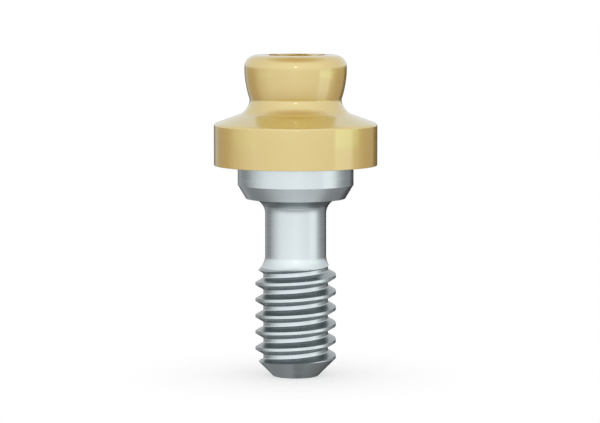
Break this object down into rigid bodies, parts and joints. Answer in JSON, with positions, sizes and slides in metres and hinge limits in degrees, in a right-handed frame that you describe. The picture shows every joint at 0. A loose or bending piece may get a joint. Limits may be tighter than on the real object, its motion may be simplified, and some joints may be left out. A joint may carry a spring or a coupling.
{
  "type": "dental abutment",
  "caption": "Screw-in dental abutment: gold-coated snap head and collar with a hex drive socket, over a bare titanium spigot, shank and metric thread.",
  "frame": {"origin": "on the abutment's axis, in the plane of the collar's underside, where the locating spigot starts", "axes": "+Z along the abutment's own axis, from the thread towards the snap head; X and Y are free, because the form is turned"},
  "size_m": [0.004, 0.004, 0.0079],
  "materials": {
    "titanium_gold_coated": "bare machined titanium alloy below the collar, polished gold nitride coating on the collar and head"
  },
  "bodies": {
    "root": {"abutment": "titanium_gold_coated"}
  },
  "joints": []
}
